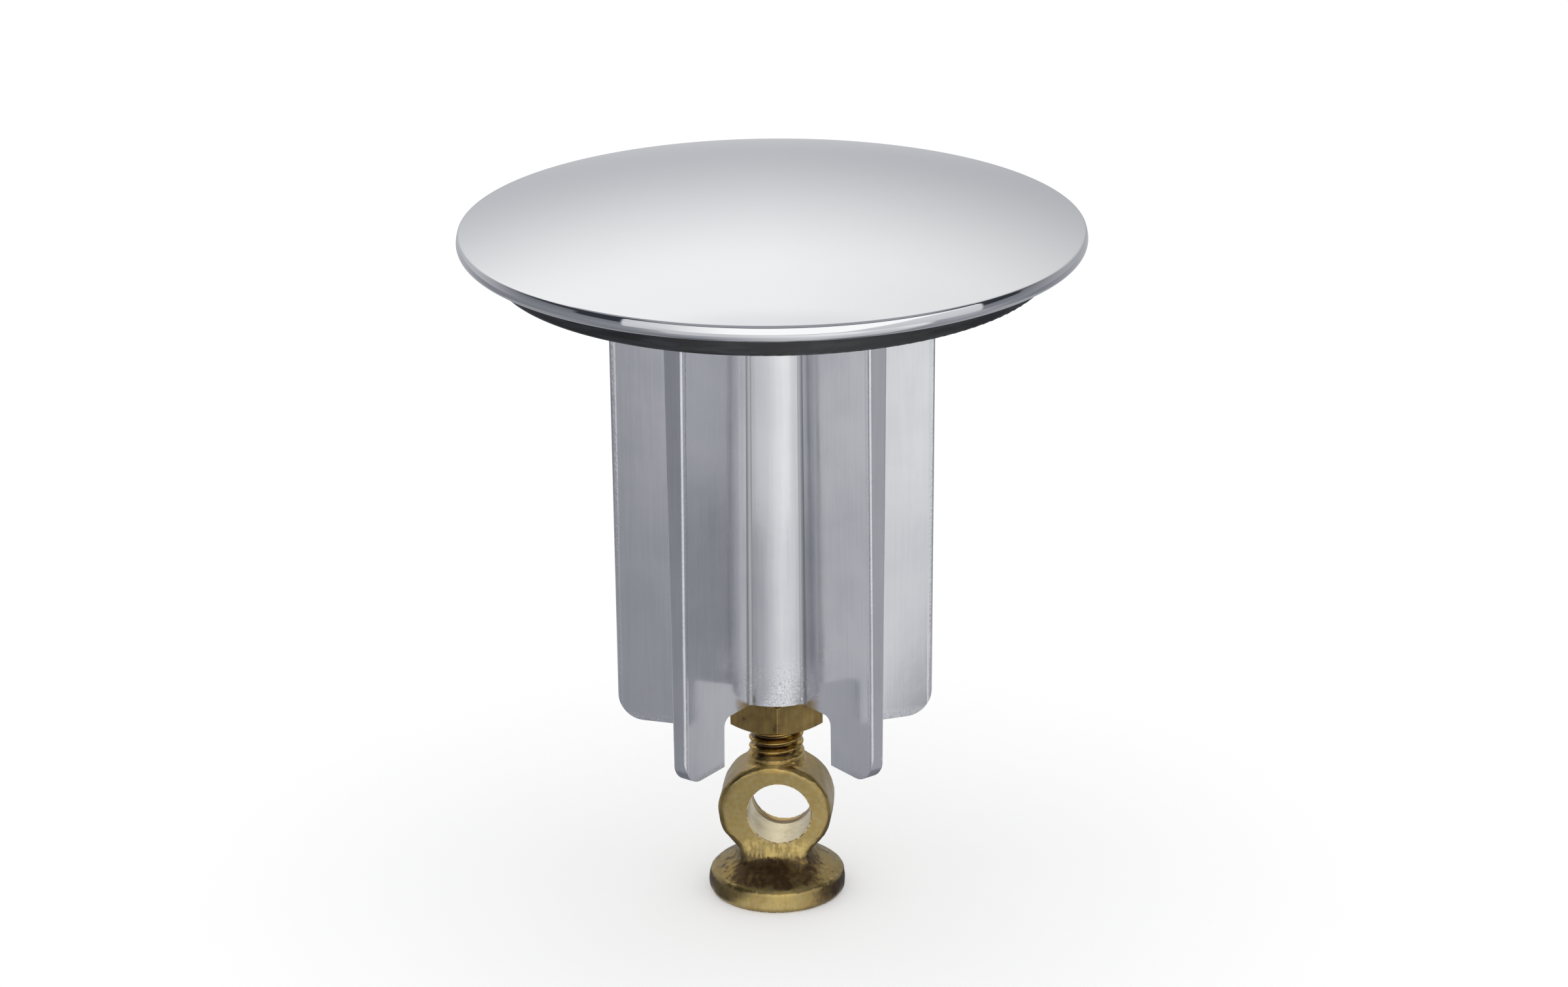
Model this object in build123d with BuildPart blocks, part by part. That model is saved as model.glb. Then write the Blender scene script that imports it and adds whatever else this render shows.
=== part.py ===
from build123d import *
import math
import os

os.makedirs("parts", exist_ok=True)

# Adjustable pop-up plug for a wash-basin waste: a domed cap, a seal, a finned guide body, a lock nut
# and an eye screw. Lengths are in millimetres and angles in degrees. The axis is Z, the foot stands on
# z = 0, and the eye's bore runs along Y.

# Eye screw: foot, neck, eye and shank
foot_radius = 7.35
foot_wall_height = 2.3
foot_edge_radius = 0.6
foot_cone_rise = 2.5
foot_join_radius = 1.0
neck_width = 7.4
neck_fillet_radius = 1.5
eye_height = 9.9
eye_bore_radius = 3.4
eye_bore_offset = 0.5
eye_half_width = 6.1
eye_half_height = 5.6
eye_thickness = 6.6
eye_edge_radius = 0.8
thread_shown = 4.3

# Adjusting thread, which the lock nut and the guide body run on
adjust_thread_radius = 2.925
adjust_thread_pitch = 1.0
adjust_thread_depth = 0.55
adjust_thread_engaged = 16.0
adjust_hole_spare = 4.5

# Lock nut, across its flats, with a corner towards the front
nut_flats = 9.8
nut_height = 3.65
nut_chamfer = 0.75
nut_chamfer_angle = 30.0
nut_turn = 36.0

# Guide body: the sizes across are those under the flange, and each draft makes them smaller downwards
fin_count = 5
fin_turn = 23.8
fin_reach = 17.7
fin_thickness = 2.4
fin_edge_radius = 0.3
fin_root_radius = 0.4
fin_side_draft = 0.5
fin_edge_draft = 0.15
core_radius = 6.3
body_height = 46.75
leg_drop = 5.45
leg_inner_radius = 10.6
leg_notch_radius = 1.0
leg_corner_width = 1.6
leg_corner_height = 3.0
flange_radius = 20.5
flange_thickness = 2.0
flange_edge_radius = 0.4
spigot_radius = 9.0

# Seal ring, its edge set in from the cap's lip
seal_inset = 0.9
seal_thickness = 2.5
seal_edge_radius = 0.3

# Cap: dome, insert and stud
cap_radius = 32.5
cap_rim_height = 1.7
cap_rim_undercut = 0.8
cap_rim_edge_radius = 0.3
cap_rim_sink = 0.1
cap_lip_width = 2.1
cap_rise = 4.4
cap_wall = 1.4
insert_inset = 0.4
stud_thread_radius = 3.95
stud_thread_pitch = 1.25
stud_thread_depth = 0.7
stud_engaged = 13.3
stud_hole_spare = 1.5
stud_head_radius = 8.0
stud_head_thickness = 1.5

# Clearances, lead-ins and the overrun of cuts
thread_clearance = 0.05
loose_clearance = 0.3
close_clearance = 0.1
braze_gap = 0.05
thread_lead_in = 0.5
lead_in_angle = 90.0
overrun = 1.0

# Levels above the foot's base
eye_top_level = eye_height + eye_half_height
nut_level = eye_top_level + thread_shown
core_level = nut_level + nut_height
leg_level = core_level - leg_drop
shank_top_level = core_level + adjust_thread_engaged
seat_level = core_level + body_height
flange_level = seat_level - flange_thickness
seal_top_level = seat_level + seal_thickness
spigot_top_level = seal_top_level - loose_clearance
rim_level = seal_top_level - cap_rim_sink
rim_top_level = rim_level + cap_rim_height
crown_level = rim_top_level + cap_rise
crown_inner_level = crown_level - cap_wall
stud_level = seal_top_level - stud_engaged

# Radii that follow the cap
cap_sphere_radius = (cap_radius**2 + cap_rise**2) / (2 * cap_rise)
inner_sphere_radius = cap_sphere_radius - cap_wall
lip_outer_radius = cap_radius - cap_rim_undercut
lip_inner_radius = lip_outer_radius - cap_lip_width
insert_radius = lip_inner_radius - insert_inset
seal_radius = lip_inner_radius - seal_inset


def sag(radius, sphere_radius):
    """How far a sphere has dropped below its top at this distance from the axis."""
    return sphere_radius - math.sqrt(sphere_radius**2 - radius**2)


def thread_outline(radius, depth, pitch, low, high, lead_in):
    """Half section of a shank between two levels, its thread drawn as rings one pitch apart."""
    turns = math.floor((high - low - lead_in) / pitch)
    points = [(0, low), (radius - depth, low)]
    for turn in range(turns):
        root = low + turn * pitch
        points.append((radius, root + pitch / 2))
        points.append((radius - depth, root + pitch))
    points.append((radius - depth, high))
    points.append((0, high))
    return points


# Cap dome: a shell of even wall with a thin rim, open below
with BuildPart() as cap_dome:
    with BuildSketch(Plane.XZ) as dome_section:
        with BuildLine():
            half_way = cap_radius / 2
            half_in = lip_inner_radius / 2
            lip_top = crown_inner_level - sag(lip_inner_radius, inner_sphere_radius)
            half_in_level = crown_inner_level - sag(half_in, inner_sphere_radius)
            rim_foot = (lip_outer_radius, rim_level)
            ThreePointArc(
                (0, crown_level),
                (half_way, crown_level - sag(half_way, cap_sphere_radius)),
                (cap_radius, rim_top_level),
            )
            TangentArc((cap_radius, rim_top_level), rim_foot, tangent=(0, -1))
            Polyline(rim_foot, (lip_inner_radius, rim_level), (lip_inner_radius, lip_top))
            ThreePointArc((lip_inner_radius, lip_top), (half_in, half_in_level), (0, crown_inner_level))
            Line((0, crown_inner_level), (0, crown_level))
        make_face()
        rim_corner = dome_section.vertices().sort_by(Axis.X)[-1]
        fillet(rim_corner, cap_rim_edge_radius)
    revolve(axis=Axis.Z)
cap_dome.part.label = "cap_dome"
export_step(cap_dome.part, "parts/cap_dome.step")

# Cap insert: flat below for the seal, domed above, with a recess for the stud's head
insert_crown_level = crown_inner_level - close_clearance
insert_sphere_radius = inner_sphere_radius - close_clearance
head_top_level = crown_inner_level - sag(stud_head_radius, inner_sphere_radius) - braze_gap
head_level = head_top_level - stud_head_thickness
with BuildPart() as cap_insert:
    with BuildSketch(Plane.XZ):
        with BuildLine():
            half_way = insert_radius / 2
            edge_level = insert_crown_level - sag(insert_radius, insert_sphere_radius)
            ThreePointArc(
                (0, insert_crown_level),
                (half_way, insert_crown_level - sag(half_way, insert_sphere_radius)),
                (insert_radius, edge_level),
            )
            Polyline(
                (insert_radius, edge_level),
                (insert_radius, seal_top_level),
                (0, seal_top_level),
                (0, insert_crown_level),
            )
        make_face()
    revolve(axis=Axis.Z)
    with BuildSketch(Plane.XY.offset(head_level)):
        Circle(stud_head_radius + close_clearance)
    extrude(amount=stud_head_thickness + overrun, mode=Mode.SUBTRACT)
    with BuildSketch(Plane.XY.offset(seal_top_level - overrun)):
        Circle(stud_thread_radius + close_clearance)
    extrude(until=Until.LAST, mode=Mode.SUBTRACT)
cap_insert.part.label = "cap_insert"
export_step(cap_insert.part, "parts/cap_insert.step")

# Cap stud: a flat head brazed inside the dome and a threaded shank
with BuildPart() as cap_stud:
    with BuildSketch(Plane.XZ):
        with BuildLine():
            Polyline(
                thread_outline(
                    stud_thread_radius,
                    stud_thread_depth,
                    stud_thread_pitch,
                    stud_level,
                    seal_top_level,
                    0,
                ),
                close=True,
            )
        make_face()
    revolve(axis=Axis.Z)
    with BuildSketch(Plane.XY.offset(seal_top_level)):
        Circle(stud_thread_radius)
    extrude(amount=head_level - seal_top_level)
    with BuildSketch(Plane.XY.offset(head_level)):
        Circle(stud_head_radius)
    extrude(amount=stud_head_thickness)
cap_stud.part.label = "cap_stud"
export_step(cap_stud.part, "parts/cap_stud.step")

# Seal ring: a flat rubber ring round the guide body's spigot
with BuildPart() as seal_ring:
    with BuildSketch(Plane.XY.offset(seat_level)):
        Circle(seal_radius)
        Circle(spigot_radius + loose_clearance, mode=Mode.SUBTRACT)
    extrude(amount=seal_thickness)
    outer_edges = seal_ring.edges().filter_by(GeomType.CIRCLE).group_by(SortBy.RADIUS)[-1]
    fillet(outer_edges, seal_edge_radius)
seal_ring.part.label = "seal_ring"
export_step(seal_ring.part, "parts/seal_ring.step")

# Guide body: core, drafted fins with legs, flange for the seal and spigot for the stud
def fin_section(level):
    """Section of the core and the fins at this level, drawn in by their drafts."""
    side_draw = (flange_level - level) * math.tan(math.radians(fin_side_draft))
    edge_draw = (flange_level - level) * math.tan(math.radians(fin_edge_draft))
    reach = fin_reach - edge_draw
    with BuildSketch() as section:
        Circle(core_radius - side_draw)
        with PolarLocations(reach / 2, fin_count, start_angle=fin_turn):
            Rectangle(reach, fin_thickness - 2 * side_draw)
        corners = section.vertices().sort_by_distance((0, 0))
        fillet(corners[-2 * fin_count :], fin_edge_radius)
        corners = section.vertices().sort_by_distance((0, 0))
        fillet(corners[: 2 * fin_count], fin_root_radius)
    return section.sketch


fin_top = fin_section(flange_level)
fin_foot = fin_section(leg_level)
with BuildPart() as guide_body:
    with BuildSketch(Plane.XY.offset(leg_level)):
        add(fin_foot)
    with BuildSketch(Plane.XY.offset(flange_level)):
        add(fin_top)
    loft(ruled=True)
    with BuildSketch(Plane.XZ) as under_core:
        with BuildLine():
            Polyline(
                (0, leg_level - overrun),
                (leg_inner_radius, leg_level - overrun),
                (leg_inner_radius, core_level),
                (0, core_level),
                close=True,
            )
        make_face()
        notch_corner = under_core.vertices().group_by(Axis.Y)[-1].sort_by(Axis.X)[-1]
        fillet(notch_corner, leg_notch_radius)
    revolve(axis=Axis.Z, mode=Mode.SUBTRACT)
    leg_reach = fin_reach - (flange_level - leg_level) * math.tan(math.radians(fin_edge_draft))
    with BuildSketch(Plane.XZ):
        with BuildLine():
            corner_top = (leg_reach, leg_level + leg_corner_height)
            corner_foot = (leg_reach - leg_corner_width, leg_level)
            TangentArc(corner_top, corner_foot, tangent=(0, -1))
            Polyline(
                corner_foot,
                (leg_reach - leg_corner_width, leg_level - overrun),
                (leg_reach + overrun, leg_level - overrun),
                (leg_reach + overrun, leg_level + leg_corner_height),
                corner_top,
            )
        make_face()
    revolve(axis=Axis.Z, mode=Mode.SUBTRACT)
    with BuildSketch(Plane.XY.offset(flange_level)):
        Circle(flange_radius)
    extrude(amount=flange_thickness)
    flange_edges = guide_body.edges().filter_by(GeomType.CIRCLE).group_by(SortBy.RADIUS)[-1]
    fillet(flange_edges, flange_edge_radius)
    with BuildSketch(Plane.XY.offset(seat_level)):
        Circle(spigot_radius)
    extrude(amount=spigot_top_level - seat_level)
    with BuildSketch(Plane.XY.offset(core_level)):
        Circle(adjust_thread_radius + thread_clearance)
    extrude(amount=adjust_thread_engaged + adjust_hole_spare, mode=Mode.SUBTRACT)
    with BuildSketch(Plane.XY.offset(stud_level - stud_hole_spare)):
        Circle(stud_thread_radius + thread_clearance)
    extrude(amount=spigot_top_level - stud_level + stud_hole_spare + overrun, mode=Mode.SUBTRACT)
guide_body.part.label = "guide_body"
export_step(guide_body.part, "parts/guide_body.step")

# Lock nut: a hexagon turned down to a cone at both ends
nut_corner_radius = nut_flats / math.sqrt(3)
with BuildPart() as lock_nut:
    with BuildSketch(Plane.XY.offset(nut_level)):
        RegularPolygon(nut_flats / 2, 6, major_radius=False, rotation=nut_turn)
    extrude(amount=nut_height)
    with BuildSketch(Plane.XZ):
        with BuildLine():
            chamfer_drop = nut_chamfer * math.tan(math.radians(nut_chamfer_angle))
            Polyline(
                (0, nut_level),
                (nut_corner_radius - nut_chamfer, nut_level),
                (nut_corner_radius, nut_level + chamfer_drop),
                (nut_corner_radius, nut_level + nut_height - chamfer_drop),
                (nut_corner_radius - nut_chamfer, nut_level + nut_height),
                (0, nut_level + nut_height),
                close=True,
            )
        make_face()
    revolve(axis=Axis.Z, mode=Mode.INTERSECT)
    with Locations((0, 0, nut_level + nut_height)):
        CounterSinkHole(
            adjust_thread_radius + thread_clearance,
            adjust_thread_radius + thread_lead_in,
            counter_sink_angle=lead_in_angle,
        )
lock_nut.part.label = "lock_nut"
export_step(lock_nut.part, "parts/lock_nut.step")

# Eye screw: foot with a coned top, neck, eye and threaded shank in one forging
with BuildPart() as eye_screw:
    with BuildSketch(Plane.XZ) as eye_outline:
        with Locations((0, eye_height)):
            Ellipse(eye_half_width, eye_half_height)
        with Locations((0, eye_height / 2)):
            Rectangle(neck_width, eye_height)
        waist = eye_outline.vertices().group_by(Axis.Y)[1]
        fillet(waist, neck_fillet_radius)
    extrude(amount=eye_thickness / 2, both=True)
    face_edges = eye_screw.faces().filter_by(Axis.Y).edges()
    fillet(face_edges, eye_edge_radius)
    with BuildSketch(Plane.XZ) as foot_section:
        with BuildLine():
            Polyline(
                (0, 0),
                (foot_radius, 0),
                (foot_radius, foot_wall_height),
                (eye_thickness / 2, foot_wall_height + foot_cone_rise),
                (0, foot_wall_height + foot_cone_rise),
                close=True,
            )
        make_face()
        rim_corners = foot_section.vertices().group_by(Axis.X)[-1]
        fillet(rim_corners, foot_edge_radius)
    revolve(axis=Axis.Z)
    foot_cone = eye_screw.faces().filter_by(GeomType.CONE).sort_by(SortBy.AREA)[-1]
    join_kinds = (GeomType.HYPERBOLA, GeomType.BSPLINE)
    foot_join = foot_cone.edges().filter_by(lambda edge: edge.geom_type in join_kinds)
    fillet(foot_join, foot_join_radius)
    with BuildSketch(Plane.XZ):
        with BuildLine():
            Polyline(
                thread_outline(
                    adjust_thread_radius,
                    adjust_thread_depth,
                    adjust_thread_pitch,
                    eye_height,
                    shank_top_level,
                    thread_lead_in,
                ),
                close=True,
            )
        make_face()
    revolve(axis=Axis.Z)
    with BuildSketch(Plane.XZ):
        with Locations((eye_bore_offset, eye_height)):
            Circle(eye_bore_radius)
    extrude(amount=eye_thickness / 2 + overrun, both=True, mode=Mode.SUBTRACT)
eye_screw.part.label = "eye_screw"
export_step(eye_screw.part, "parts/eye_screw.step")
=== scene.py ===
import math

import bmesh
import bpy
from bpy.props import FloatProperty, FloatVectorProperty, PointerProperty
from mathutils import Matrix, Vector, noise


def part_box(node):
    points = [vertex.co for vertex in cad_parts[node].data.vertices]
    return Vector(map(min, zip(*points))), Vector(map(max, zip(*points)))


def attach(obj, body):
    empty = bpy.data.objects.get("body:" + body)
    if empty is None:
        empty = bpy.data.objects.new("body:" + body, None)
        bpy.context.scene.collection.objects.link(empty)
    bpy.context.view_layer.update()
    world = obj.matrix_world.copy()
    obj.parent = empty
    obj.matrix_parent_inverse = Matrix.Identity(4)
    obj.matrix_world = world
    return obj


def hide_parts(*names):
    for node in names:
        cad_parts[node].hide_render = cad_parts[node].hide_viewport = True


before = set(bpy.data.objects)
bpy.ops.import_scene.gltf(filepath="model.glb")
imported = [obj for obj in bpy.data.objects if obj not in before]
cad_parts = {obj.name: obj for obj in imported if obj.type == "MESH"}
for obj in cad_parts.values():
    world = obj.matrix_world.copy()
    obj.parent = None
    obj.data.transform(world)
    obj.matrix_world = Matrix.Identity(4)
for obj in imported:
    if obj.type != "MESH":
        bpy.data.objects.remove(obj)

bl_info = {
    "name": "Basin Plug",
    "version": (1, 0, 0),
    "blender": (4, 5, 0),
    "location": "3D View > Sidebar > Basin Plug",
    "description": "Finish and studio of a pop-up basin plug with a chrome cap and a brass eye screw",
    "category": "Object",
}

MM = 0.001
AXIS = Vector((0, 0, 1))
ACROSS = Vector((0, 1, 0))
ROUND = 2 * math.pi
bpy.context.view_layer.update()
CAP_LOW, CAP_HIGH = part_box("cap_dome")
SCREW_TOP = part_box("eye_screw")[1].z
FINS = 5
FIN_STEP = ROUND / FINS
FIN_HALF = 0.61 * MM
FIN_DRAFT = 0.0087
CORE_RADIUS = 6.45 * MM
SMALLEST = 0.002 * MM

# Levels above the legs' ends at which the casting is cut, so that the corners can be rounded
LEG_CUTS = (0.02, 0.08, 0.2, 0.4, 0.7, 1.1, 1.6, 2.2)

# One turn of the thread in section: share of the pitch, share of the depth
THREAD_SECTION = (
    (0.12, 0), (0.30, 0.55), (0.46, 0.9273), (0.53, 1), (0.57, 1), (0.64, 0.9273), (0.82, 0.5), (1.0, 0),
)

# Colours of shade, grain and wear
CLOUDY_CHROME = (0.675, 0.685, 0.715, 1)
SHADED_CHROME = (0.30, 0.305, 0.33, 1)
DULL_PLATING = (0.62, 0.627, 0.655, 1)
ROOT_SHADE_PLATING = (0.33, 0.335, 0.355, 1)
BRIGHT_SPECKS = (0.93, 0.93, 0.95, 1)
DARK_SPECKS = (0.36, 0.365, 0.385, 1)
RUBBER_LINES = (0.022, 0.024, 0.031, 1)
PLASTIC_GRAIN = (0.66, 0.66, 0.63, 1)
STUD_CLOUDS = (0.56, 0.41, 0.17, 1)
NUT_STREAKS = (0.44, 0.32, 0.12, 1)
OLIVE_FLECKS = (0.37, 0.295, 0.14, 1)
WARM_SIDES = (0.38, 0.27, 0.10, 1)
WARM_SHANK = (0.60, 0.40, 0.13, 1)
GREY_CREAM = (0.66, 0.56, 0.36, 1)
RIM_GOLD = (0.56, 0.36, 0.075, 1)
RIM_BROWN = (0.12, 0.062, 0.012, 1)

# Tones of the tent's floor by turn: 0.5 is towards the camera, more is to the right as the camera sees it
FAR_FLOOR = (
    (0.0, 0.57), (0.11, 0.50), (0.17, 0.32), (0.21, 0.30), (0.28, 0.30), (0.31, 0.32), (0.37, 0.38),
    (0.391, 0.52), (0.402, 0.76), (0.425, 0.80), (0.46, 0.84), (0.50, 0.975), (0.545, 1.12), (0.577, 1.12),
    (0.594, 0.94), (0.615, 0.90), (0.627, 1.02), (0.648, 1.02), (0.66, 0.46), (0.70, 0.52), (0.755, 0.34),
    (0.80, 0.30), (0.89, 0.50), (1.0, 0.57),
)
NEAR_FLOOR = (
    (0.0, 0.50), (0.20, 0.50), (0.28, 0.42), (0.31, 0.34), (0.37, 0.40), (0.40, 0.48), (0.44, 0.56),
    (0.50, 0.84), (0.54, 0.98), (0.59, 0.88), (0.61, 0.87), (0.64, 0.90), (0.66, 0.46), (0.70, 0.48),
    (0.74, 0.48), (0.78, 0.60), (0.82, 0.60), (1.0, 0.50),
)
FOOT_FLOOR = (
    (0.0, 0.50), (0.20, 0.22), (0.36, 0.24), (0.40, 0.85), (0.50, 1.05), (0.62, 0.95), (0.68, 0.28),
    (0.80, 0.20), (1.0, 0.50),
)

# The tent's wall behind the plug: its tone low, high and under the ceiling, and how it fades to the right
BACK_LOW = 0.60
BACK_HIGH = 1.21
BACK_TOP = 1.08
BACK_FADE = ((0.43, 0.82), (0.50, 1))

# The bright window in the wall before the plug, its foot by turn, and the wall under, over and beside it
WINDOW = ((0.354, 0.80), (0.40, 0.95), (0.46, 1.35), (0.71, 1.35))
WINDOW_FOOT = (
    (0.354, 0.15), (0.38, 0.14), (0.42, 0.06), (0.50, 0.037), (0.565, 0.05), (0.634, 0.195), (0.676, 0.24),
)
WINDOW_TOP = 0.36
UNDER_WINDOW = ((0.0, 0.75), (0.04, 0.78), (0.12, 0.84), (0.24, 0.88))
OVER_WINDOW = ((0.36, 0.05), (0.46, 0.10), (0.62, 0.34), (0.95, 0.50))
CORNER_WALL = (
    (0.0, 0.32), (0.037, 0.30), (0.12, 0.26), (0.20, 0.19), (0.205, 0.05), (0.72, 0.05), (0.8, 0.35),
)
DARK_WALL = 0.05
CEILING = 0.42


# Settings
def length(name, description, millimetres):
    """A length that can be changed, given in millimetres and kept in metres."""
    return FloatProperty(
        name=name,
        description=description,
        default=millimetres * MM,
        subtype="DISTANCE",
        unit="LENGTH",
    )


def angle(name, description, degrees):
    """An angle that can be changed, given in degrees."""
    return FloatProperty(
        name=name,
        description=description,
        default=math.radians(degrees),
        subtype="ANGLE",
        unit="ROTATION",
    )


def share(name, description, value):
    """A share between 0 and 1 that can be changed."""
    return FloatProperty(
        name=name,
        description=description,
        default=value,
        min=0,
        max=1,
        subtype="FACTOR",
    )


def colour(name, description, value):
    """A colour that can be changed."""
    return FloatVectorProperty(
        name=name,
        description=description,
        default=value,
        min=0,
        max=1,
        size=3,
        subtype="COLOR",
    )


class CapSettings(bpy.types.PropertyGroup):
    """Sizes and finish of the cap and its fittings"""

    band_radius: length("Band radius", "Roundness of the upper band round the rim, seen in section", 3.2)
    band_tilt: angle("Band tilt", "How far the top of the band leans back", 17)
    bend: angle("Bend", "Lean at which the band turns into the rim's underside", 5.3)
    under_radius: length("Under radius", "Roundness of the rim's underside", 0.83)
    edge_radius: length("Edge radius", "Rounding between the band and the dome", 0.3)
    foot_rise: length("Foot rise", "Height of the rim's widest line above the CAD rim's foot", 1.0)
    lip_width: length("Lip width", "Width of the flat lip under the rim", 2.1)
    wall: length("Wall", "Thickness of the dome", 1.4)
    roughness: share("Roughness", "Roughness of the polished chrome", 0.05)
    chrome: colour("Chrome", "Colour of the polished chrome", (0.695, 0.70, 0.72))
    plastic: colour("Insert", "Colour of the moulded insert", (0.74, 0.74, 0.71))
    stud: colour("Stud", "Colour of the turned brass stud", (0.72, 0.55, 0.24))


class BodySettings(bpy.types.PropertyGroup):
    """Finish of the guide body and the seal"""

    chrome: colour("Plated casting", "Colour of the chrome on the casting", (0.665, 0.67, 0.695))
    roughness: share("Roughness", "Roughness of the chrome on the casting", 0.11)
    fin_turn: angle("Fin turn", "Direction of the first fin", 23.8)
    leg_reach: length("Leg reach", "How far the legs reach from the axis", 17.57)
    leg_level: length("Leg level", "Level of the legs' ends", 18.0)
    corner_height: length("Corner height", "Height of the legs' rounded corners", 3.0)
    corner_width: length("Corner width", "Width of the legs' cut corners", 1.6)
    corner_round: length("Corner rounding", "Width of the legs' corners after rounding", 2.8)
    rubber: colour("Rubber", "Colour of the seal", (0.006, 0.0065, 0.009))


class BrassSettings(bpy.types.PropertyGroup):
    """Sizes and finish of the nut and the eye screw"""

    thread_radius: length("Thread radius", "Outer radius of the adjusting thread", 2.925)
    thread_depth: length("Thread depth", "Depth of the adjusting thread", 0.55)
    thread_pitch: length("Thread pitch", "Rise of the thread in one turn", 1.0)
    runout: length("Run-out", "Length of the thread's flared end above the eye", 1.45)
    flare: length("Flare", "How much wider the thread's end is at the eye", 0.36)
    collar_radius: length("Collar radius", "Radius of the collar under the shank", 3.22)
    eye_top: length("Eye top", "Level of the eye's top", 15.5)
    eye_middle: length("Eye middle", "Level of the eye's middle", 9.9)
    bore_offset: length("Bore offset", "How far the bore stands aside", 0.5)
    bore_radius: length("Bore radius", "Radius of the eye's bore", 3.4)
    half_thickness: length("Half thickness", "Half of the eye's thickness", 3.3)
    foot_wall: length("Foot wall", "Height of the foot's wall", 2.3)
    grain: length("Forging grain", "Size of the facets that the forging is made of", 0.11)
    nut_edge: length("Nut edge", "Width of the nut's softened edges", 0.2)
    brass: colour("Brass", "Colour of the clean brass", (0.345, 0.25, 0.092))
    # The worn colour is also used for the painted highlights on the nut's edges and on the eye screw's foot.
    worn: colour("Worn brass", "Colour of the rubbed places", (0.60, 0.455, 0.17))
    bored: colour("Bored brass", "Colour of the drilled bore", (0.90, 0.79, 0.52))
    patina: colour("Patina", "Colour of the brown patina", (0.105, 0.066, 0.034))
    nut: colour("Nut", "Colour of the nut", (0.29, 0.195, 0.075))


class StudioSettings(bpy.types.PropertyGroup):
    """Camera, floor and light"""

    distance: length("Distance", "From the camera to the middle of the rim", 495.2)
    aside: length("Aside", "How far the camera stands to its right", 1.03)
    target: length("Target level", "Level of the rim's top", 74.3)
    azimuth: angle("Azimuth", "Turn of the camera round the plug", 4.8)
    elevation: angle("Elevation", "Height of the camera, seen from the rim", 17.387)
    pitch: angle("Pitch", "How far the camera looks down", 20.539)
    roll: angle("Roll", "Roll of the camera", -0.444)
    lens: FloatProperty(name="Lens", description="Focal length in millimetres", default=110.41)
    daylight: FloatProperty(name="Daylight", description="Strength of the light from all round", default=0.94)
    floor: colour("Floor", "Colour of the floor", (0.96, 0.96, 0.96))
    tent_radius: length("Tent radius", "Radius of the grey tent that the metal reflects", 400)
    tent_height: length("Tent height", "Height of the tent", 600)
    glow: FloatProperty(name="Glow", description="Strength of the tent's brightest place", default=1.35)


class PlugSettings(bpy.types.PropertyGroup):
    """All settings of the plug"""

    cap: PointerProperty(type=CapSettings)
    body: PointerProperty(type=BodySettings)
    brass: PointerProperty(type=BrassSettings)
    studio: PointerProperty(type=StudioSettings)


# Materials
class Value:
    """A socket of a material's nodes, which sums and products can be made of"""

    def __init__(self, finish, socket):
        self.finish = finish
        self.socket = socket

    def output(self, index):
        """Another output of the same node."""
        return Value(self.finish, self.socket.node.outputs[index])

    def math(self, operation, *inputs):
        """A Math node with these inputs."""
        return self.finish.node("ShaderNodeMath", {"operation": operation}, inputs)

    def __add__(self, other):
        return self.math("ADD", self, other)

    def __radd__(self, other):
        return self.math("ADD", other, self)

    def __sub__(self, other):
        return self.math("SUBTRACT", self, other)

    def __rsub__(self, other):
        return self.math("SUBTRACT", other, self)

    def __mul__(self, other):
        return self.math("MULTIPLY", self, other)

    def __rmul__(self, other):
        return self.math("MULTIPLY", other, self)

    def __truediv__(self, other):
        return self.math("DIVIDE", self, other)

    def __rtruediv__(self, other):
        return self.math("DIVIDE", other, self)

    def __abs__(self):
        return self.math("ABSOLUTE", self)


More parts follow.
